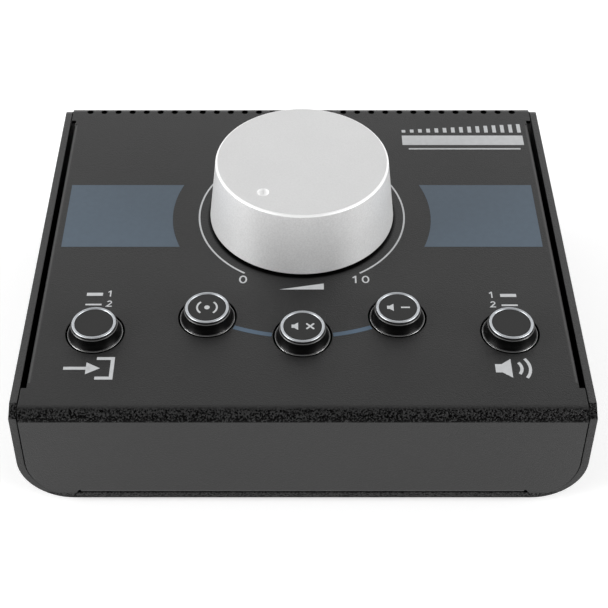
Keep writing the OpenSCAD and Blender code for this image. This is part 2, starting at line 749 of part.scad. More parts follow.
// Return spring between the switch body's floor and the plunger's foot
module switch_spring(b) {
    steps = 14;
    sides = 6;
    wire_r = spring_wire / 2;
    low = cavity_floor + fit_gap + wire_r;
    high = foot_under - fit_gap - wire_r;
    last = spring_turns * steps;
    points = [for (i = [0:last], j = [0:sides - 1])
        let (a = 360 * i / steps, t = 360 * j / sides, r = spring_d / 2 + wire_r * cos(t))
        [r * cos(a), r * sin(a), low + (high - low) * i / last + wire_r * sin(t)]];
    skin = [for (i = [0:last - 1], j = [0:sides - 1], half = [0, 1])
        let (a = i * sides + j, b1 = i * sides + (j + 1) % sides, c = a + sides, d = b1 + sides)
        half == 0 ? [a, b1, c] : [b1, d, c]];
    ends = [for (j = [1:sides - 2], half = [0, 1])
        half == 0 ? [0, j + 1, j] : [last * sides, last * sides + j, last * sides + j + 1]];
    color([0.7, 0.7, 0.72]) on_panel(b[1], b[2])
        polyhedron(points = points, faces = concat(skin, ends));
}

// ---------------------------------------------------------------- Boards

module control_board() {
    color([0.08, 0.3, 0.17]) on_panel() difference() {
        translate([-board_half, -board_front, board_under])
            cube([2 * board_half, board_front + board_rear, board_t]);
        panel_standoff_places() translate([0, 0, board_under - over])
            cylinder(d = board_screw_d + 2 * hole_gap, h = board_t + 2 * over, $fn = 32);
    }
}

// The four standoffs' places in the panel frame
module panel_standoff_places() {
    front_x = (end_button_x + middle_arc_r * sin(middle_spread)) / 2;
    for (side = [-1, 1]) {
        translate([side * front_x, standoff_inset - board_front, 0]) children();
        translate([side * (board_half - standoff_inset), board_rear - standoff_inset, 0])
            children();
    }
}

module panel_standoffs() {
    color([0.75, 0.72, 0.6]) on_panel() panel_standoff_places() difference() {
        translate([0, 0, board_top]) cylinder(d = standoff_d, h = standoff_top_l, $fn = 48);
        translate([0, 0, board_top - over])
            cylinder(d = board_screw_d + 2 * fit_gap, h = board_screw_l + over, $fn = 32);
    }
}

module panel_board_screws() {
    color([0.7, 0.7, 0.72]) on_panel() panel_standoff_places() {
        translate([0, 0, board_under - board_head_h])
            cylinder(d = board_head_d, h = board_head_h, $fn = 48);
        translate([0, 0, board_under])
            cylinder(d = board_screw_d, h = board_screw_l - over, $fn = 32);
    }
}

module socket_board() {
    color([0.08, 0.3, 0.17]) difference() {
        translate([-jack_board_half, jack_board_y, jack_board_top - board_t])
            cube([2 * jack_board_half, jack_l + jack_board_front - over, board_t]);
        jack_standoff_places() translate([0, 0, jack_board_top - board_t - over])
            cylinder(d = board_screw_d + 2 * hole_gap, h = board_t + 2 * over, $fn = 32);
    }
}

module jack_standoff_places() {
    for (x = jack_standoff_x) translate([x, jack_standoff_y, 0]) children();
}

module socket_board_standoffs() {
    color([0.75, 0.72, 0.6]) jack_standoff_places() difference() {
        translate([0, 0, z_floor])
            cylinder(d = standoff_d, h = jack_board_top - board_t - z_floor, $fn = 48);
        translate([0, 0, jack_board_top - board_t - board_screw_l])
            cylinder(d = board_screw_d + 2 * fit_gap, h = board_screw_l + over, $fn = 32);
    }
}

module socket_board_screws() {
    color([0.7, 0.7, 0.72]) jack_standoff_places() {
        translate([0, 0, jack_board_top]) cylinder(d = board_head_d, h = board_head_h, $fn = 48);
        translate([0, 0, jack_board_top - board_screw_l + over])
            cylinder(d = board_screw_d, h = board_screw_l - over, $fn = 32);
    }
}

// ---------------------------------------------------------------- Sockets

// Places its children at every socket's axis, where it leaves the rear face
module jack_places() {
    for (i = [0:jack_n - 1])
        translate([(i - (jack_n - 1) / 2) * jack_pitch, y_rear, jack_z]) children();
}

module socket(i) {
    x = (i - (jack_n - 1) / 2) * jack_pitch;
    back = y_rear - cover_t;
    color([0.07, 0.07, 0.08]) translate([x, 0, jack_z]) difference() {
        union() {
            translate([-jack_w / 2, back - jack_l, -jack_w / 2]) cube([jack_w, jack_l, jack_w]);
            translate([0, back, 0]) rotate([-90, 0, 0])
                cylinder(d = jack_bushing_d, h = cover_t + jack_proud, $fn = round_fn);
        }
        translate([0, y_rear + jack_proud - jack_depth, 0]) rotate([-90, 0, 0])
            cylinder(d = jack_bore_d, h = jack_depth + over, $fn = round_fn);
    }
}

module socket_washers() {
    color([0.75, 0.75, 0.77]) jack_places() rotate([-90, 0, 0])
        tube(jack_nut_w / 2 + 0.5, jack_bushing_d / 2 + fit_gap, 0, washer_t);
}

module socket_nuts() {
    color([0.8, 0.8, 0.82]) jack_places() rotate([-90, 0, 0]) difference() {
        translate([0, 0, washer_t]) nut_blank(jack_nut_w, jack_nut_t);
        cylinder(r = jack_bushing_d / 2 + fit_gap, h = 2 * jack_nut_t + over, $fn = round_fn);
    }
}

// ---------------------------------------------------------------- Ribbon cable

module panel_header() {
    color([0.9, 0.88, 0.8]) on_panel(-ribbon_x, header_v)
        translate([-header_l / 2, -header_d / 2, board_under - header_h])
            cube([header_l, header_d, header_h]);
}

module socket_header() {
    color([0.9, 0.88, 0.8])
        translate([-ribbon_x - header_l / 2, header_y - header_d / 2, jack_board_top])
            cube([header_l, header_d, header_h]);
}

// Flat cable: straight along the panel's slope, over one bend and down
module ribbon_cable() {
    half_t = ribbon_t / 2;
    along = [cos(slope), sin(slope)];
    across = [-sin(slope), cos(slope)];
    centre = [header_y - ribbon_bend_r, ribbon_turn_z];
    bend = centre + across * ribbon_bend_r + along * weld;
    start = bend - along * (ribbon_run + weld);
    color([0.62, 0.62, 0.64]) translate([-ribbon_x - ribbon_w / 2, 0, 0]) rotate([90, 0, 90]) {
        linear_extrude(ribbon_w) polygon([
            start - across * half_t, bend - across * half_t,
            bend + across * half_t, start + across * half_t,
        ]);
        translate(centre) rotate_extrude(angle = 90 + slope, $fn = round_fn)
            translate([ribbon_bend_r - half_t, 0]) square([ribbon_t, ribbon_w]);
        translate([header_y - half_t, ribbon_turn_z - ribbon_down])
            cube([ribbon_t, ribbon_down, ribbon_w]);
    }
}

// ---------------------------------------------------------------- Nodes

top_cover();
base_tray();
for (f = FEET) foot(f[1], f[2]);
base_screws();
control_board();
panel_standoffs();
panel_board_screws();
volume_pot_case();
volume_pot_bushing();
volume_pot_washer();
volume_pot_nut();
volume_shaft();
volume_wiper();
knob_hub();
volume_knob();
for (b = BUTTONS) {
    switch_body(b);
    switch_spring(b);
    switch_plunger(b);
    button_cap(b);
    button_ring(b);
}
for (i = [0:jack_n - 1]) socket(i);
socket_washers();
socket_nuts();
socket_board();
socket_board_standoffs();
socket_board_screws();
panel_header();
socket_header();
ribbon_cable();
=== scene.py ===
import json
import math

import bmesh
import bpy
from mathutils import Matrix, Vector


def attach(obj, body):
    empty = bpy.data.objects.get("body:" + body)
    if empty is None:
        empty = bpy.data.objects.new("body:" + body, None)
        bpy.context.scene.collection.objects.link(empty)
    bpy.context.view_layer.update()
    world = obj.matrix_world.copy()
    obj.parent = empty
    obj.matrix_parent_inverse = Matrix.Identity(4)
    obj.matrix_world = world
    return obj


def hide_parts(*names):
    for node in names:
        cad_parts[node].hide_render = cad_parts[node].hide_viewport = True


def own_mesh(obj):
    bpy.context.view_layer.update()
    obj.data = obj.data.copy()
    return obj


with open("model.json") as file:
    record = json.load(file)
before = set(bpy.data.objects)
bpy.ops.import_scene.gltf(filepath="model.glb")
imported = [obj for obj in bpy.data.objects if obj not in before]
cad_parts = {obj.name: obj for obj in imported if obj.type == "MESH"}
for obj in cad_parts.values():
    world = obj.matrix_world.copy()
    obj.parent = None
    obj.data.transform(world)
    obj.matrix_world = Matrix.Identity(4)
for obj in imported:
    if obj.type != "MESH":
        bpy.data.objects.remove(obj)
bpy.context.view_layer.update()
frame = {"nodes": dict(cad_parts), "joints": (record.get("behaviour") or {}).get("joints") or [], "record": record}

# Lengths in this script are millimetres in the panel's frame, like those of part.scad:
# x across, v up the slope and h square out of the panel, from the knob's centre.
MM = 0.001
JOINTS = {joint["name"]: joint for joint in frame["joints"]}
ORIGIN = Vector(JOINTS["volume_turn"]["pos_m"])
UP = -Vector(JOINTS["volume_turn"]["axis"]).normalized()
ACROSS = Vector((1, 0, 0))
ALONG = UP.cross(ACROSS)
DEPTH, UPRIGHT = (0, 1, 0), (0, 0, 1)


def panel(x, v, h=0.0):
    """World position of a point given in the panel's frame."""
    return ORIGIN + (ACROSS * x + ALONG * v + UP * h) * MM


def points_of(node):
    """A CAD piece's points in the panel's frame."""
    piece = frame["nodes"][node]
    places = [(piece.matrix_world @ vertex.co - ORIGIN) / MM for vertex in piece.data.vertices]
    return [Vector((place.dot(ACROSS), place.dot(ALONG), place.dot(UP))) for place in places]


def grey(value):
    return (value, value, value)


# ------------------------------------------------------------------ Sizes

# Case, in the world's axes: where the walls and the two end faces begin on the inside, and
# how high the tongue reaches that the tray's floor puts out under the front face
INNER_X, INNER_Y = 79.3, (-69.3, 67.9)
TONGUE_TOP = 4.5

# Knob, with the place of its pointer dimple clockwise from the front, and its printed scale
KNOB_TOP = max(point.z for point in points_of("volume_knob"))
KNOB_R = max(point.xy.length for point in points_of("volume_knob"))
DIMPLE_AT, DIMPLE_TURN, DIMPLE_R = 19.6, 36.8, 1.8
SCALE_R, SCALE_LINE, SCALE_END = 32.53, 0.55, 32.6

# Buttons: their holes, the tops of their caps and the arc that the middle three lie on
HOLE_R = 8.65
CAP_TOP = max(point.z for point in points_of("mute_button_cap"))
MIDDLE_ARC_R, MIDDLE_SPREAD = 54.1, 31.1

# Lowest and highest face of a print above its surface
PRINT_LOW, PRINT_TOP = 0.004, 0.03


# ------------------------------------------------------------------ Shader helper

# Features of noise on the width of one grain or pit of a finish, the range that holds most
# of a noise's values, and the range of heights over the panel that a mask can tell apart
GRAIN_NOISE, PIT_NOISE = 0.9, 2.3
NOISE_RANGE = (0.3, 0.7)
HEIGHT_RANGE = (-60, 40)


class Shader:
    """A material's node tree, with short ways to add and link nodes. Masks are 1 on what they
    are named after and 0 elsewhere."""

    def __init__(self, name, **sockets):
        self.material = bpy.data.materials.new(name)
        self.material.use_nodes = True
        self.tree = self.material.node_tree
        self.bsdf = next(n for n in self.tree.nodes if n.type == "BSDF_PRINCIPLED")
        self.coords = self.add("ShaderNodeTexCoord")
        self.finish(**sockets)

    def finish(self, **sockets):
        for socket, value in sockets.items():
            self.set(self.bsdf, socket.replace("_", " "), value)
        return self.material

    def set(self, node, socket, value):
        target = node.inputs[socket]
        if isinstance(value, bpy.types.NodeSocket):
            self.tree.links.new(value, target)
        elif hasattr(target.default_value, "__len__") and len(target.default_value) == 4:
            target.default_value = (*value, 1.0)
        else:
            target.default_value = value

    def add(self, kind, settings=None, **sockets):
        node = self.tree.nodes.new(kind)
        for name, value in (settings or {}).items():
            setattr(node, name, value)
        for socket, value in sockets.items():
            self.set(node, socket.replace("_", " "), value)
        return node

    # Numbers and colours

    def math(self, operation, a, b=0.0):
        node = self.add("ShaderNodeMath", {"operation": operation})
        self.set(node, 0, a)
        self.set(node, 1, b)
        return node.outputs[0]

    def sum(self, a, b):
        return self.math("ADD", a, b)

    def most(self, a, b):
        return self.math("MAXIMUM", a, b)

    def product(self, *values):
        result = values[0]
        for value in values[1:]:
            result = self.math("MULTIPLY", result, value)
        return result

    def ramp(self, value, low, high, out_low=0.0, out_high=1.0):
        """Leads a value's range from low to high, which may fall, over to another range."""
        node = self.add("ShaderNodeMapRange", Value=value)
        self.set(node, "From Min", low)
        self.set(node, "From Max", high)
        self.set(node, "To Min", out_low)
        self.set(node, "To Max", out_high)
        return node.outputs["Result"]

    def ramp_mm(self, value, low, high):
        """A ramp over a length in metres whose ends are given in millimetres."""
        return self.ramp(value, low * MM, high * MM)

    def masked(self, mask, outside, inside):
        """One number outside a mask and another inside."""
        return self.ramp(mask, 0.0, 1.0, outside, inside)

    def mix(self, mask, outside, inside):
        """One colour outside a mask and another inside. A colour mix has them in sockets 6 and
        7 and gives its colour in output 2."""
        node = self.add("ShaderNodeMix", {"data_type": "RGBA"})
        self.set(node, 0, mask)
        self.set(node, 6, outside)
        self.set(node, 7, inside)
        return node.outputs[2]

    def scaled(self, colour, factor):
        return self.add("ShaderNodeVectorMath", {"operation": "SCALE"}, Vector=colour,
                        Scale=factor).outputs[0]

    def grey_of(self, value):
        return self.add("ShaderNodeCombineColor", Red=value, Green=value, Blue=value).outputs[0]

    # Noise and relief

    def noise(self, per_mm, detail=2.0, roughness=0.5):
        """Noise with about per_mm features in a millimetre."""
        return self.add("ShaderNodeTexNoise", Vector=self.place(), Scale=per_mm / MM,
                        Detail=detail, Roughness=roughness).outputs["Fac"]

    def spread(self, noise, out_low=0.0, out_high=1.0):
        """A noise stretched so that it wanders from one number to another."""
        return self.ramp(noise, *NOISE_RANGE, out_low, out_high)

    def bump(self, height, depth_mm, normal=None):
        node = self.add("ShaderNodeBump", Height=height, Strength=1.0, Distance=depth_mm * MM)
        if normal:
            self.set(node, "Normal", normal)
        return node.outputs["Normal"]

    def soft_edges(self, radius_mm):
        return self.add("ShaderNodeBevel", {"samples": 6}, Radius=radius_mm * MM).outputs["Normal"]

    # Places and directions

    def place(self):
        return self.coords.outputs["Object"]

    def dot(self, source, direction):
        node = self.add("ShaderNodeVectorMath", {"operation": "DOT_PRODUCT"}, Vector=source)
        self.set(node, 1, tuple(direction))
        return node.outputs["Value"]

    def along(self, direction):
        """How far a place lies along a direction, in metres."""
        return self.dot(self.place(), direction)

    def facing(self, direction):
        """How squarely a surface faces a direction: 1 straight on, 0 side on, -1 away."""
        return self.dot(self.coords.outputs["Normal"], direction)

    def aside(self):
        """How far a place lies to either side of the middle, in metres."""
        return self.math("ABSOLUTE", self.along(ACROSS))

    def distance(self, point):
        node = self.add("ShaderNodeVectorMath", {"operation": "DISTANCE"}, Vector=self.place())
        self.set(node, 1, tuple(point))
        return node.outputs["Value"]

    def height(self):
        """Height above the panel, in millimetres."""
        low, high = HEIGHT_RANGE
        level = ORIGIN.dot(UP)
        return self.ramp(self.along(UP), level + low * MM, level + high * MM, low, high)


# ------------------------------------------------------------------ Case's masks
# Each ramp says where a mask fades: ramp_mm from one length to the next, in millimetres, and
# a ramp of facing() from one cosine to the next.

def inside_case(s):
    """What lies in the case: under the panel's sheet, or a cut edge of it, between the walls
    and the end faces. The coat is painted black there as painted shade."""
    front, rear = INNER_Y
    cut_edge = s.product(s.ramp(s.facing(UP), 0.4, 0.2), s.ramp(s.height(), -0.03, -0.1))
    under_sheet = s.ramp(s.height(), -0.8, -1.1)
    return s.product(s.ramp_mm(s.aside(), INNER_X + 0.15, INNER_X + 0.05),
                     s.most(under_sheet, cut_edge),
                     s.ramp_mm(s.along(DEPTH), front, front + 0.2),
                     s.ramp_mm(s.along(DEPTH), rear, rear - 0.2))


def knob_contact_shadow(s):
    """The panel under the knob and in a narrow ring round it, where the knob's contact shadow is painted."""
    return s.ramp_mm(s.distance(ORIGIN), KNOB_R + 1.1, KNOB_R + 0.3)


def front_bend(s):
    """The cover's bend from the panel down to the front face."""
    up = s.facing(UP)
    return s.product(s.ramp(up, 0.08, 0.16), s.ramp(up, 0.99, 0.9),
                     s.ramp(s.facing(-ALONG), 0.05, 0.25))


def rear_bend(s):
    """The cover's bend from the panel down to the rear face."""
    return s.product(s.ramp(s.facing(ALONG), 0.02, 0.12), s.ramp(s.facing(UP), 0.3, 0.5))


def tongue(s):
    """The end of the tray's floor that shows under the front face."""
    front = INNER_Y[0]
    return s.product(s.ramp_mm(s.along(UPRIGHT), TONGUE_TOP, TONGUE_TOP - 0.1),
                     s.ramp_mm(s.along(DEPTH), front, front - 0.2),
                     s.ramp(s.facing(UPRIGHT), -0.5, -0.3))


def side_folds(s):
    """The cover's folds from the panel down into the two slots, where a highlight is painted."""
    fold = s.math("ABSOLUTE", s.facing(ACROSS))
    return s.product(s.ramp(fold, 0.1, 0.4), s.ramp(s.facing(UP), 0.3, 0.6))


def wall_tops(s):
    """The upper edges of the tray's two walls, where a highlight is painted."""
    return s.product(s.ramp_mm(s.aside(), INNER_X + 0.1, INNER_X + 0.2),
                     s.ramp(s.facing(UP), 0.9, 0.98))


# ------------------------------------------------------------------ Materials

def powder_coat(name, grain_mm, depth_mm, edge_mm, rough):
    """Fine-textured dark coat: small round grains and slight mottling. It is coarser with dark
    pits on the front bend and the tongue, smoother on the rear bend, with painted highlights on
    the folds and wall tops, and painted shade, black without reflections, in the case and under the knob."""
    tone, specular, deep, spread = 0.015, 0.45, 0.05, 0.05
    fold_highlight, wall_highlight = 0.03, 0.022
    s = Shader(name, Specular_IOR_Level=specular)
    grains = s.noise(GRAIN_NOISE / grain_mm, detail=3.0, roughness=0.6)
    pits = s.noise(PIT_NOISE / grain_mm, detail=2.0)
    on_tongue, rear = tongue(s), rear_bend(s)
    # Painted shade: the coat turns black without reflections in the case, and in a ring round the knob's foot as
    # its painted contact shadow.
    painted_shade = s.most(inside_case(s), knob_contact_shadow(s))

    # The coarse texture turns into pits, with more of them low on the bend
    rugged_part = s.most(front_bend(s), on_tongue)
    more_pits = s.product(s.ramp(s.facing(UP), 0.1, 0.7, 0.12, 0.0), s.masked(on_tongue, 1.0, 0.0))
    lumps = s.noise(1.9, detail=2.0, roughness=0.6)
    coarse = s.ramp(s.math("SUBTRACT", lumps, more_pits), 0.42, 0.62)
    pit = s.product(rugged_part, s.math("SUBTRACT", 1.0, coarse))

    mottled = s.spread(s.noise(0.05, detail=4.0), tone * 0.93, tone * 1.07)
    # Painted highlights: the side folds and the wall tops are painted a little lighter.
    painted_highlights = s.most(s.product(side_folds(s), fold_highlight), s.product(wall_tops(s), wall_highlight))
    speck = s.ramp(pits, 0.35, 0.65, 0.8, 1.2)
    shade = s.product(s.sum(mottled, painted_highlights), speck, s.masked(pit, 1.0, deep),
                      s.masked(painted_shade, 1.0, deep))
    relief = s.sum(s.sum(s.spread(grains), s.product(pits, 0.4)),
                   s.product(coarse, rugged_part, 1.2))
    return s.finish(
        Base_Color=s.grey_of(shade),
        Specular_Tint=s.mix(s.most(pit, painted_shade), grey(1.0), grey(0.0)),
        Roughness=s.product(s.masked(rear, 1.0, 0.35),
                            s.spread(grains, rough - spread, rough + spread)),
        Normal=s.bump(s.product(relief, s.masked(rear, 1.0, 0.2)), depth_mm,
                      s.soft_edges(edge_mm)),
    )


def ink(name, colour, rough=0.5):
    """Screen-printed ink with a faint uneven cover."""
    s = Shader(name, Roughness=rough)
    cover = s.spread(s.noise(0.6, detail=3.0), 0.95, 1.03)
    return s.finish(Base_Color=s.scaled(colour, cover), Normal=s.bump(s.noise(2.0), 0.01))


def metal(name, colour, rough, grain_mm, depth_mm, edge_mm=0.15):
    """Machined or blasted metal with fine isotropic grain."""
    spread = 0.03
    s = Shader(name, Metallic=1.0)
    grain = s.noise(GRAIN_NOISE / grain_mm, detail=3.0)
    cloud = s.spread(s.noise(0.06, detail=3.0), 0.975, 1.015)
    return s.finish(
        Base_Color=s.scaled(colour, cloud),
        Roughness=s.spread(grain, rough - spread, rough + spread),
        Normal=s.bump(grain, depth_mm, s.soft_edges(edge_mm)),
    )


def plastic(name, colour, rough, grain_mm=0.4, depth_mm=0.01):
    """Moulded plastic or rubber with a fine grain."""
    spread, edge_mm = 0.03, 0.1
    s = Shader(name)
    grain = s.noise(GRAIN_NOISE / grain_mm, detail=2.0)
    cloud = s.spread(s.noise(0.08, detail=3.0), 0.95, 1.05)
    return s.finish(
        Base_Color=s.scaled(colour, cloud),
        Roughness=s.spread(grain, rough - spread, rough + spread),
        Normal=s.bump(grain, depth_mm, s.soft_edges(edge_mm)),
    )


def knob_material():
    """Blasted and anodised aluminium, with a cut rim and a pointer dimple painted near white as a painted
    highlight, and a top painted darker than the sides as painted shade.
    """
    side_tone, top_shaded_tone, painted_highlight_grey = 0.84, 0.727, 0.97
    side_speckle, top_speckle, speckle_middle = 0.06, 0.025, 0.995
    s = Shader("blasted_aluminium")
    up = s.facing(UP)
    rim = s.product(s.ramp(up, 0.2, 0.35), s.ramp(up, 0.985, 0.96))
    turn = math.radians(-90 - DIMPLE_TURN)
    centre = panel(DIMPLE_AT * math.cos(turn), DIMPLE_AT * math.sin(turn), KNOB_TOP)
    dimple = s.ramp_mm(s.distance(centre), DIMPLE_R * 1.05, DIMPLE_R * 0.98)
    # Painted highlight: the rim and the dimple are painted near white and less metallic.
    rim_and_dimple = s.most(rim, dimple)

    grain = s.noise(4.0, detail=3.0)
    blotch = s.noise(2.0, detail=3.0)
    cloud = s.spread(s.noise(0.06, detail=3.0), 0.985, 1.01)
    speckle = s.product(s.ramp(up, 0.96, 0.98, side_speckle, top_speckle),
                        s.spread(blotch, -1.0, 1.0))
    # Painted shade: the top is painted darker than the sides.
    tone = s.product(cloud, s.sum(speckle_middle, speckle),
                     s.ramp(up, 0.96, 0.98, side_tone, top_shaded_tone))
    relief = s.product(s.sum(grain, s.product(blotch, 0.8)), s.masked(rim_and_dimple, 1.0, 0.08))
    return s.finish(
        Base_Color=s.mix(rim_and_dimple, s.grey_of(tone), grey(painted_highlight_grey)),
        Metallic=s.most(s.masked(dimple, 0.0, 0.3), s.masked(rim, 0.52, 0.2)),
        Roughness=s.masked(dimple, 0.42, 0.5),
        Normal=s.bump(relief, 0.035, s.soft_edges(0.1)),
    )


def button_cap_material():
    """Black plastic: fine satin grain on the flat top, a deep black skirt, and a painted highlight,
    lighter grey and partly metallic, on the shoulder under the ring and on the lip."""
    top_black, skirt_black, painted_highlight_grey = grey(0.028), grey(0.002), grey(0.28)
    s = Shader("cap_gloss", Specular_IOR_Level=0.2)
    up = s.facing(UP)
    top = s.ramp(up, 0.985, 0.995)
    slant = s.product(s.ramp(up, 0.3, 0.5), s.ramp(up, 0.985, 0.96))
    shoulder = s.product(s.ramp(s.height(), 3.0, 3.1), s.ramp(s.height(), 3.38, 3.3))
    lip = s.ramp(s.height(), 0.05, 0.0)
    # Painted highlight: the shoulder and the lip are painted lighter grey and partly metallic.
    edge = s.product(slant, s.most(s.product(shoulder, 0.4), lip))
    return s.finish(
        Base_Color=s.mix(top, s.mix(edge, skirt_black, painted_highlight_grey), top_black),
        Metallic=s.product(edge, 0.7),
        Specular_Tint=s.mix(s.most(top, edge), grey(0.3), grey(1.0)),
        Roughness=s.most(s.product(top, 0.45), s.masked(edge, 0.3, 0.2)),
        Normal=s.bump(s.product(s.noise(3.0), top), 0.02, s.soft_edges(0.05)),
    )


def ring_material():
    """Satin silver on the ring's crest; its side is painted black as painted shade."""
    silver, side = (0.52, 0.54, 0.565), grey(0.01)
    s = Shader("ring_silver")
    crest = s.ramp(s.facing(UP), 0.3, 0.45)
    grain = s.noise(3.0)
    cloud = s.spread(s.noise(0.3, detail=3.0), 0.95, 1.03)
    # Painted shade: the ring's side under its crest is painted black.
    return s.finish(
        Base_Color=s.mix(crest, side, s.scaled(silver, cloud)),
        Metallic=s.product(crest, 0.5),
        Roughness=s.spread(grain, 0.33, 0.39),
        Normal=s.bump(grain, 0.004, s.soft_edges(0.08)),
    )


def board_material():
    """Green solder mask with a faint pattern of tracks under it."""
    mask_green, track_green = (0.012, 0.085, 0.035), (0.03, 0.17, 0.07)
    cell, line = 6, 0.06
    s = Shader("board_green")
    cells = s.add("ShaderNodeTexBrick", Vector=s.place(), Scale=1 / (cell * MM))
    s.set(cells, "Mortar Size", line)
    tracks = s.ramp(cells.outputs["Fac"], 0.0, 1.0)
    return s.finish(
        Base_Color=s.mix(tracks, mask_green, track_green),
        Roughness=s.spread(s.noise(1.0), 0.28, 0.4),
        Normal=s.bump(tracks, 0.03),
    )


def threaded_brass():
    """Brass with ridges round it, for the control's short bushing. A wave texture repeats its
    bands 20 / (2 pi) times in one unit of its scale."""
    colour, rough, spread, pitch = (0.66, 0.5, 0.25), 0.28, 0.04, 1.48
    s = Shader("brass_thread", Metallic=1.0, Base_Color=colour)
    ridges = s.add("ShaderNodeTexWave", {"bands_direction": "Z"}, Vector=s.place(),
                   Scale=2 * math.pi / (20 * pitch * MM))
    return s.finish(
        Roughness=s.spread(s.noise(1.5), rough - spread, rough + spread),
        Normal=s.bump(ridges.outputs["Fac"], 0.12, s.soft_edges(0.1)),
    )


COVER_COAT = powder_coat("cover_coat", grain_mm=0.4, depth_mm=0.05, edge_mm=0.25, rough=0.4)
TRAY_COAT = powder_coat("tray_coat", grain_mm=0.5, depth_mm=0.08, edge_mm=0.35, rough=0.45)
WHITE_INK = ink("white_ink", (0.56, 0.57, 0.58))
BLUE_INK = ink("blue_grey_ink", (0.072, 0.104, 0.14), 0.42)
BLUE_LINE_INK = ink("blue_line_ink", (0.085, 0.135, 0.195))
MATERIALS = {
    "cover_coat": COVER_COAT,
    "tray_coat": TRAY_COAT,
    "black_screw": metal("black_screw", grey(0.09), rough=0.42, grain_mm=0.2, depth_mm=0.01),
    "board": board_material(),
    "standoff": metal("standoff", (0.62, 0.58, 0.46), rough=0.3, grain_mm=0.2, depth_mm=0.005),
    "steel": metal("steel", grey(0.72), rough=0.26, grain_mm=0.25, depth_mm=0.006),
    "brass": threaded_brass(),
    "black_plastic": plastic("black_plastic", grey(0.022), rough=0.42),
    "turned_aluminium": knob_material(),
    "pale_plastic": plastic("pale_plastic", (0.62, 0.58, 0.48), rough=0.45),
    "ribbon": plastic("ribbon", grey(0.32), rough=0.5, grain_mm=0.6, depth_mm=0.05),
    "rubber": plastic("rubber", grey(0.018), rough=0.75, grain_mm=0.35, depth_mm=0.05),
    "spring_wire": metal("spring_wire", grey(0.65), rough=0.25, grain_mm=0.2, depth_mm=0.004,
                         edge_mm=0.02),
    "cap_gloss": button_cap_material(),
    "ring_silver": ring_material(),
}
NODE_SLOTS = {part["node"]: part["material_slot"] for part in frame["record"]["subparts"]}
for node, obj in frame["nodes"].items():
    obj.data.materials.clear()
    obj.data.materials.append(MATERIALS[NODE_SLOTS[node]])


# ------------------------------------------------------------------ Return springs

def make_spring(button):
    """A copy of a button's return spring that stands for it, held by the case."""
    node = f"{button}_switch_spring"
    spring = bpy.data.objects.new(f"{button}_return_spring", frame["nodes"][node].data.copy())
    spring.matrix_world = frame["nodes"][node].matrix_world
    bpy.context.scene.collection.objects.link(spring)
    reach = [(spring.matrix_world @ vertex.co).dot(UP) for vertex in spring.data.vertices]
    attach(spring, "case")
    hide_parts(node)
    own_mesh(spring)


for button in ("source", "mono", "mute", "dim", "monitor"):
    make_spring(button)


# ------------------------------------------------------------------ Outlines of marks

def moved(outline, x, v, scale=1.0):
    return [(x + px * scale, v + pv * scale) for px, pv in outline]


def arc(cx, cv, r, start, end, steps):
    """Points of an arc, with angles in degrees anticlockwise from the x axis."""
    return [(cx + r * math.cos(math.radians(start + (end - start) * i / steps)),
             cv + r * math.sin(math.radians(start + (end - start) * i / steps)))
            for i in range(steps + 1)]


def oval(rx, rv, steps=40):
    return [(rx * math.cos(2 * math.pi * i / steps), rv * math.sin(2 * math.pi * i / steps))
            for i in range(steps)]


def rectangle(x, v, width, height):
    """Rectangle about a centre."""
    return [(x + sx * width / 2, v + sv * height / 2)
            for sx, sv in ((-1, -1), (1, -1), (1, 1), (-1, 1))]


def stroke(points, width):
    """Outline of an open line of even width, with square ends and corners that are mitred as
    far as a limit."""
    mitre_limit = 0.35
    left, right = [], []
    last = len(points) - 1
    for i, point in enumerate(points):
        p = Vector(point)
        before = (p - Vector(points[i - 1])).normalized() if i else None
        after = (Vector(points[i + 1]) - p).normalized() if i < last else None
        normals = [Vector((-d.y, d.x)) for d in (before, after) if d]
        bisector = sum(normals, Vector((0, 0))).normalized()
        reach = width / 2 / max(mitre_limit, bisector.dot(normals[0]))
        left.append(p + bisector * reach)
        right.append(p - bisector * reach)
    return [tuple(p) for p in right + left[::-1]]


def band_between(start, end, r, width):
    """Part of a ring about the knob, with angles clockwise from the panel's front."""
    degrees_a_step = 1.5
    steps = max(4, int(abs(end - start) / degrees_a_step))
    outer = arc(0, 0, r + width / 2, -90 - start, -90 - end, steps)
    inner = arc(0, 0, r - width / 2, -90 - end, -90 - start, steps)
    return outer + inner


def zero(x, v, height):
    """The figure 0 as an outer and an inner outline."""
    half, line = height / 2, height * 0.15
    wide = half * 0.72
    return moved(oval(wide, half), x, v), moved(oval(wide - line, half - line), x, v)


def one(x, v, height):
    """The figure 1 with a slanted flag."""
    h, w = height / 2, height * 0.15
    return moved([(-w / 2, -h), (w / 2, -h), (w / 2, h), (-w * 0.3, h), (-w * 2.1, h - w * 1.5),
                  (-w * 1.6, h - w * 2.3), (-w / 2, h - w * 1.5)], x, v)


def two(x, v, height):
    """The figure 2 as one stroke: a bowl that runs down into a foot."""
    h, w = height / 2, height * 0.15
    bowl = arc(0, h * 0.42, h * 0.58 - w / 2, 165, -40, 12)
    foot = [(-h * 0.56, -h + w / 2), (h * 0.62, -h + w / 2)]
    return moved(stroke(bowl + foot, w), x, v)


def speaker(x, v, size):
    """A plain loudspeaker sign: a small box and a cone."""
    return moved([(-1.0, -0.55), (-0.35, -0.55), (0.6, -1.25), (0.6, 1.25), (-0.35, 0.55),
                  (-1.0, 0.55)], x, v, size)


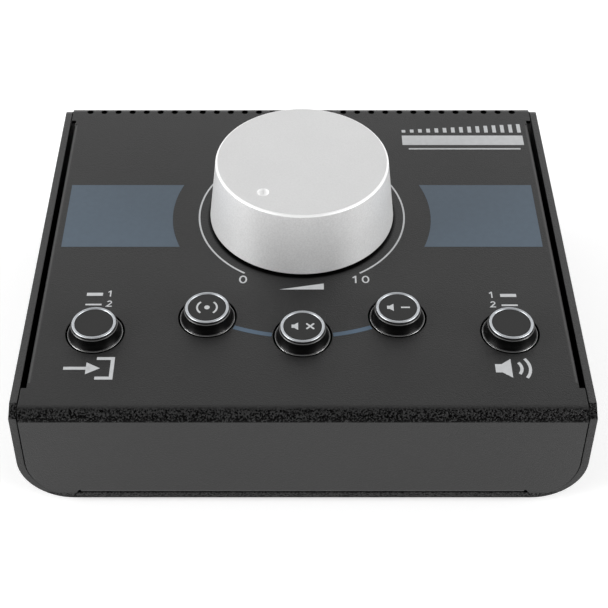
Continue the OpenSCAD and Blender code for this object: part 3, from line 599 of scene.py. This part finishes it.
def cross(x, v, r, width):
    """A slanted cross with pointed ends, which reaches r out in x and v."""
    w = width / 2 * math.sqrt(2)
    corner = [(r, r - w), (r, r), (r - w, r)]
    points = []
    for (sx, sv), notch in (((1, 1), (0, w)), ((-1, 1), (-w, 0)),
                            ((-1, -1), (0, -w)), ((1, -1), (w, 0))):
        side = [(px * sx, pv * sv) for px, pv in corner]
        points += side if sx * sv > 0 else side[::-1]
        points.append(notch)
    return moved(points, x, v)


def field(side):
    """Field beside the knob, cut back by a wide arc about the knob."""
    low, high, outer, reach = -15.4, 14.7, 74.8, 41.0
    start = math.degrees(math.asin(low / reach))
    end = math.degrees(math.asin(high / reach))
    points = arc(0, 0, reach, end, start, 24) + [(outer, low), (outer, high)]
    return [(side * x, v) for x, v in points]


def numbered_bars(bar_x, figure_x, thick_v, thin_v):
    """A thick bar with the figure 1 beside it over a thin bar with the figure 2."""
    length, thick, thin, figure = 4.8, 1.3, 0.65, 2.6
    one_v, two_v = thick_v + 0.3, thin_v + 0.4
    return [rectangle(bar_x, thick_v, length, thick), rectangle(bar_x, thin_v, length, thin),
            one(figure_x, one_v, figure), two(figure_x, two_v, figure)]


def arrow_into_socket(x, v):
    """An arrow to the right, into an open frame."""
    line, end, tip, neck, head, head_half = 1.1, 6.9, 3.5, 0.6, -0.5, 2.3
    mouth, mouth_half = 2.3, 3.8
    frame_points = [(mouth, mouth_half), (end, mouth_half), (end, -mouth_half),
                    (mouth, -mouth_half)]
    shapes = (stroke([(-end, 0), (neck, 0)], line),
              [(head, head_half), (tip, 0), (head, -head_half)],
              stroke(frame_points, line))
    return [moved(shape, x, v) for shape in shapes]


def sounding_speaker(x, v):
    """A loudspeaker sign with two waves before it."""
    size, line, spread, waves_x = 2.9, 0.9, 38, x + 1.0
    waves = [stroke(arc(waves_x, v, r, -spread, spread, steps), line)
             for r, steps in ((3.6, 10), (6.0, 14))]
    return [speaker(x, v, size)] + waves


def dot_between_arcs(x, v):
    dot_r, r, spread, line, steps = 0.8, 2.9, 50, 0.55, 14
    return [moved(oval(dot_r, dot_r, 32), x, v),
            stroke(arc(x, v, r, 180 - spread, 180 + spread, steps), line),
            stroke(arc(x, v, r, -spread, spread, steps), line)]


def rising_strokes(left, foot, run, count=15):
    """Upright strokes side by side on one line, each taller than the one before."""
    width, first, growth = 1.25, 1.4, 3.3
    heights = [first + growth * i / (count - 1) for i in range(count)]
    return [rectangle(left + i * run / (count - 1), foot + height / 2, width, height)
            for i, height in enumerate(heights)]


# ------------------------------------------------------------------ Flat prints

def add_plate(bm, outline, low, top):
    """Closed thin plate over one outline, between two heights above the panel."""
    floor = [bm.verts.new(panel(x, v, low)) for x, v in outline]
    roof = [bm.verts.new(panel(x, v, top)) for x, v in outline]
    bm.faces.new(floor[::-1])
    bm.faces.new(roof)
    for i in range(len(outline)):
        j = (i + 1) % len(outline)
        bm.faces.new((floor[i], floor[j], roof[j], roof[i]))


def add_loop(bm, outer, inner, low, top):
    """Closed thin plate between an outer and an inner outline with as many points."""
    rings = [[bm.verts.new(panel(x, v, h)) for x, v in outline]
             for outline, h in ((outer, low), (outer, top), (inner, top), (inner, low))]
    for k in range(4):
        here, there = rings[k], rings[(k + 1) % 4]
        for i in range(len(here)):
            j = (i + 1) % len(here)
            bm.faces.new((here[i], here[j], there[j], there[i]))


def make_print(name, material, body="case", plates=(), loops=(), height=0.0):
    """A print made of plates and loops, lying on a surface at a height over the panel."""
    bm = bmesh.new()
    for outline in plates:
        add_plate(bm, outline, height + PRINT_LOW, height + PRINT_TOP)
    for outer, inner in loops:
        add_loop(bm, outer, inner, height + PRINT_LOW, height + PRINT_TOP)
    bmesh.ops.recalc_face_normals(bm, faces=bm.faces)
    mesh = bpy.data.meshes.new(name)
    bm.to_mesh(mesh)
    bm.free()
    mesh.materials.append(material)
    piece = bpy.data.objects.new(name, mesh)
    bpy.context.scene.collection.objects.link(piece)
    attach(piece, body)


def print_scale():
    """The knob's scale: a fine ring with a gap in front, 0 and 10 at its ends, and a wedge
    that grows towards louder between them."""
    figures_v, zero_x, ten_x, pitch = -30.2, -17.9, 16.2, 3.0
    zero_size, ten_size = 3.4, 3.2
    left, right, foot, head = -6.8, 6.5, -34.6, -32.0
    make_print("scale_ring", WHITE_INK,
               plates=[band_between(SCALE_END, 360 - SCALE_END, SCALE_R, SCALE_LINE)])
    make_print("scale_low_end", WHITE_INK, loops=[zero(zero_x, figures_v, zero_size)])
    make_print("scale_high_end", WHITE_INK, plates=[one(ten_x, figures_v, ten_size)],
               loops=[zero(ten_x + pitch, figures_v, ten_size)])
    make_print("scale_wedge", WHITE_INK, plates=[[(left, foot), (right, foot), (right, head)]])


def print_fields():
    """Fields beside the knob, and a thin arc that links the middle buttons and stops short
    of their holes."""
    margin, link_r, link_width = 0.2, MIDDLE_ARC_R + 0.3, 1.5
    make_print("field_left", BLUE_INK, plates=[field(-1)])
    make_print("field_right", BLUE_INK, plates=[field(1)])
    start = math.degrees(math.asin((HOLE_R + margin) / MIDDLE_ARC_R))
    end = MIDDLE_SPREAD - start
    for name, side in (("link_left", 1), ("link_right", -1)):
        make_print(name, BLUE_LINE_INK,
                   plates=[band_between(side * start, side * end, link_r, link_width)])


def print_end_buttons():
    """Numbered bars over the two end buttons, and plain signs under them in place of words."""
    signs_v = -67.0
    make_print("source_bars", WHITE_INK, plates=numbered_bars(
        bar_x=-62.1, figure_x=-57.4, thick_v=-36.7, thin_v=-41.1))
    make_print("monitor_bars", WHITE_INK, plates=numbered_bars(
        bar_x=61.6, figure_x=56.7, thick_v=-37.2, thin_v=-41.4))
    make_print("source_sign", WHITE_INK, plates=arrow_into_socket(x=-61.1, v=signs_v))
    make_print("monitor_sign", WHITE_INK, plates=sounding_speaker(x=57.6, v=signs_v))


def print_rear_right():
    """A rising row of plain strokes over a plain bar and a fine line."""
    make_print("rising_strokes", WHITE_INK, plates=rising_strokes(left=34.9, foot=42.9, run=39.4))
    make_print("plain_bar", WHITE_INK, plates=[
        rectangle(x=54.65, v=38.6, width=41.0, height=5.2)])
    make_print("fine_line", WHITE_INK, plates=[
        rectangle(x=54.9, v=33.9, width=37.6, height=0.7)])


def print_caps():
    """Signs on the caps of the three middle buttons."""
    x = MIDDLE_ARC_R * math.sin(math.radians(MIDDLE_SPREAD))
    v = -MIDDLE_ARC_R * math.cos(math.radians(MIDDLE_SPREAD))
    line, speaker_size, speaker_shift, mark_shift = 0.55, 1.2, -2.0, 2.2
    cross_reach, minus_length = 1.2, 2.6
    make_print("mono_sign", WHITE_INK, "mono_button", height=CAP_TOP,
               plates=dot_between_arcs(-x, v))
    make_print("mute_sign", WHITE_INK, "mute_button", height=CAP_TOP, plates=[
        speaker(speaker_shift, -MIDDLE_ARC_R, speaker_size),
        cross(mark_shift, -MIDDLE_ARC_R, cross_reach, line)])
    make_print("dim_sign", WHITE_INK, "dim_button", height=CAP_TOP, plates=[
        speaker(x + speaker_shift, v, speaker_size),
        rectangle(x + mark_shift, v, minus_length, line)])


print_scale()
print_fields()
print_end_buttons()
print_rear_right()
print_caps()


# ------------------------------------------------------------------ Stage, light and camera

def add_stage(name, points, faces, material, in_view=True):
    """A staged surface, which isn't part of the object."""
    mesh = bpy.data.meshes.new(name)
    mesh.from_pydata(points, [], faces)
    mesh.materials.append(material)
    surface = bpy.data.objects.new(name, mesh)
    surface.visible_camera = in_view
    bpy.context.scene.collection.objects.link(surface)


def seen_whiter(s, strength):
    """Adds white to what the camera, gloss and glass see of a surface, and keeps its shadows."""
    out = next(n for n in s.tree.nodes if n.type == "OUTPUT_MATERIAL")
    rays = s.add("ShaderNodeLightPath").outputs
    glow = s.add("ShaderNodeEmission", Strength=strength)
    whiter = s.add("ShaderNodeAddShader")
    pick = s.add("ShaderNodeMixShader")
    seen = s.most(s.most(rays["Is Camera Ray"], rays["Is Glossy Ray"]),
                  rays["Is Transmission Ray"])
    own = s.bsdf.outputs[0]
    for source, target in ((own, whiter.inputs[0]), (glow.outputs[0], whiter.inputs[1]),
                           (seen, pick.inputs[0]), (own, pick.inputs[1]),
                           (whiter.outputs[0], pick.inputs[2]),
                           (pick.outputs[0], out.inputs["Surface"])):
        s.tree.links.new(source, target)


def make_floor():
    """White floor. Its added white lifts what is seen of it to the white of the world."""
    half, added_white = 3.0, 0.46
    s = Shader("floor_white", Base_Color=grey(0.8), Roughness=0.9, Specular_IOR_Level=0.1)
    s.finish(Normal=s.bump(s.noise(0.2), 0.02))
    seen_whiter(s, added_white)
    corners = [(-half, -half, 0), (half, -half, 0), (half, half, 0), (-half, half, 0)]
    add_stage("floor", corners, [(0, 1, 2, 3)], s.material)


def make_flag():
    """Black studio flag that curves from the front over the top, out of the camera's sight."""
    reach, half_width, start, end, steps = 1.6, 0.9, 0, 112, 24
    s = Shader("flag_black", Base_Color=grey(0.02), Roughness=0.9, Specular_IOR_Level=0.0)
    points = []
    for i in range(steps + 1):
        angle = math.radians(start + (end - start) * i / steps)
        for x in (-half_width, half_width):
            points.append((x, -reach * math.cos(angle), reach * math.sin(angle)))
    faces = [(2 * i, 2 * i + 1, 2 * i + 3, 2 * i + 2) for i in range(steps)]
    add_stage("flag", points, faces, s.material, in_view=False)


def make_world():
    """Plain white walls all round."""
    world = bpy.data.worlds.new("studio")
    world.use_nodes = True
    walls = next(n for n in world.node_tree.nodes if n.type == "BACKGROUND")
    walls.inputs["Color"].default_value = (1, 1, 1, 1)
    walls.inputs["Strength"].default_value = 1.0
    bpy.context.scene.world = world


def make_lamp(name, place, power):
    """Soft box, wider than high, turned to the middle of the object."""
    width, height, target = 0.8, 0.7, Vector((0, 0, 0.03))
    light = bpy.data.lights.new(name, "AREA")
    light.shape = "RECTANGLE"
    light.size, light.size_y = width, height
    light.energy = power
    lamp = bpy.data.objects.new(name, light)
    lamp.location = place
    lamp.rotation_euler = (target - Vector(place)).to_track_quat("-Z", "Y").to_euler()
    bpy.context.scene.collection.objects.link(lamp)


def make_camera():
    """The photograph's view: its place, tilt and lens come from the fit to the panel. The
    photo is square, and its optical centre lies a little left of its middle."""
    photo_px, centre_px, focal_px = 608, 293.56, 1379.6
    place, down = Vector((-2.61, -338.125, 309.996)), 41.25
    data = bpy.data.cameras.new("photo_camera")
    data.sensor_width = 36
    data.lens = focal_px * data.sensor_width / photo_px
    data.shift_x = (photo_px / 2 - centre_px) / photo_px
    data.clip_start, data.clip_end = 0.01, 20
    camera = bpy.data.objects.new("photo_camera", data)
    camera.location = place * MM
    camera.rotation_euler = (math.radians(90 - down), 0, 0)
    bpy.context.scene.collection.objects.link(camera)
    bpy.context.scene.camera = camera


make_floor()
make_world()
make_flag()
make_lamp("left_box", (-1.27, -0.45, 0.45), 15)
make_lamp("right_box", (1.22, -0.56, 0.45), 12.5)
make_camera()

bpy.context.scene.view_settings.view_transform = "Standard"
